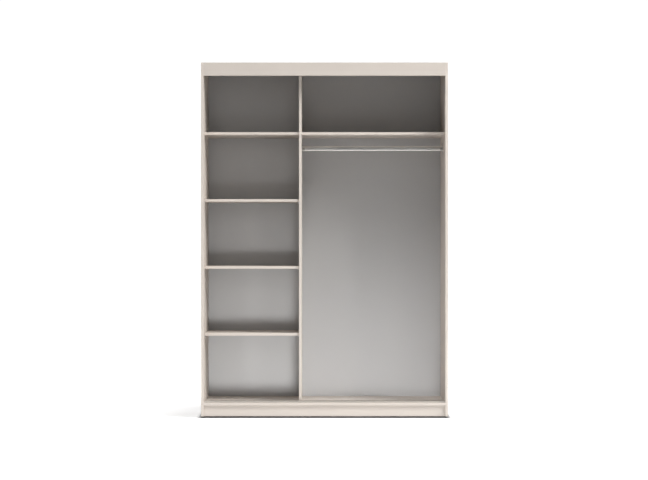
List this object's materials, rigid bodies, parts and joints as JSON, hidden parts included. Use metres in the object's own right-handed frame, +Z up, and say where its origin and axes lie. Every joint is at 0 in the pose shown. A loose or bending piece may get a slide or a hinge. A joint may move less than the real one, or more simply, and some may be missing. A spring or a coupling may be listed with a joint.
{
  "type": "open wardrobe carcass",
  "caption": "Open wardrobe carcass for sliding doors: shelves in a narrow left bay, a shelf and hanging rod in a wide right bay, empty door tracks.",
  "frame": {"origin": "on the floor, under the middle of the carcass's width and depth", "axes": "+Z up; +X to the right seen from the front; the open front faces -Y and the back +Y"},
  "size_m": [1.5, 0.6, 2.158],
  "materials": {
    "laminate": "chipboard faced with matt beige laminate, matching edge band",
    "back_sheet": "3 mm fibreboard, pale grey lacquer inside, raw brown outside",
    "track": "extruded, satin anodised in a pale champagne",
    "rod": "drawn oval steel tube, chrome plated",
    "bracket": "zinc casting, satin nickel plated",
    "screw": "steel, bright zinc plated",
    "cam_fitting": "zinc casting and zinc plated bolt",
    "shelf_pin": "turned steel, nickel plated",
    "glide": "black moulded plastic"
  },
  "bodies": {
    "carcass": {"left_side_panel": "laminate", "right_side_panel": "laminate", "top_panel": "laminate", "top_fascia": "laminate", "bottom_panel": "laminate", "front_plinth": "laminate", "rear_plinth": "laminate", "plinth_support": "laminate", "divider_panel": "laminate", "left_fixed_shelf": "laminate", "right_fixed_shelf": "laminate", "left_back_sheet": "back_sheet", "right_back_sheet": "back_sheet", "top_track": "track", "bottom_track": "track", "left_rod_bracket": "bracket", "right_rod_bracket": "bracket", "left_bracket_screw_upper": "screw", "left_bracket_screw_lower": "screw", "right_bracket_screw_upper": "screw", "right_bracket_screw_lower": "screw", "divider_screw_top_front": "screw", "divider_screw_top_rear": "screw", "divider_screw_bottom_front": "screw", "divider_screw_bottom_rear": "screw", "cam_fitting_top_left_front": "cam_fitting", "cam_fitting_top_left_rear": "cam_fitting", "cam_fitting_top_right_front": "cam_fitting", "cam_fitting_top_right_rear": "cam_fitting", "cam_fitting_bottom_left_front": "cam_fitting", "cam_fitting_bottom_left_rear": "cam_fitting", "cam_fitting_bottom_right_front": "cam_fitting", "cam_fitting_bottom_right_rear": "cam_fitting", "cam_fitting_left_shelf_left": "cam_fitting", "cam_fitting_left_shelf_right": "cam_fitting", "cam_fitting_right_shelf_left": "cam_fitting", "cam_fitting_right_shelf_right": "cam_fitting", "shelf_pin_lower_left_front": "shelf_pin", "shelf_pin_lower_left_rear": "shelf_pin", "shelf_pin_lower_right_front": "shelf_pin", "shelf_pin_lower_right_rear": "shelf_pin", "shelf_pin_middle_left_front": "shelf_pin", "shelf_pin_middle_left_rear": "shelf_pin", "shelf_pin_middle_right_front": "shelf_pin", "shelf_pin_middle_right_rear": "shelf_pin", "shelf_pin_upper_left_front": "shelf_pin", "shelf_pin_upper_left_rear": "shelf_pin", "shelf_pin_upper_right_front": "shelf_pin", "shelf_pin_upper_right_rear": "shelf_pin", "glide_left_front": "glide", "glide_left_rear": "glide", "glide_right_front": "glide", "glide_right_rear": "glide", "glide_support_front": "glide", "glide_support_rear": "glide"},
    "lower_shelf": {"lower_left_shelf": "laminate"},
    "middle_shelf": {"middle_left_shelf": "laminate"},
    "upper_shelf": {"upper_left_shelf": "laminate"},
    "rod": {"hanging_rod": "rod"}
  },
  "joints": [
    {"name": "lower_shelf_slide", "type": "slide", "parent": "carcass", "child": "lower_shelf", "axis": [0, -1, 0], "range_m": [0, 0.6]},
    {"name": "middle_shelf_slide", "type": "slide", "parent": "carcass", "child": "middle_shelf", "axis": [0, -1, 0], "range_m": [0, 0.6]},
    {"name": "upper_shelf_slide", "type": "slide", "parent": "carcass", "child": "upper_shelf", "axis": [0, -1, 0], "range_m": [0, 0.6]},
    {"name": "rod_lift", "type": "slide", "parent": "carcass", "child": "rod", "axis": [0, 0, 1], "range_m": [0, 0.05]}
  ]
}
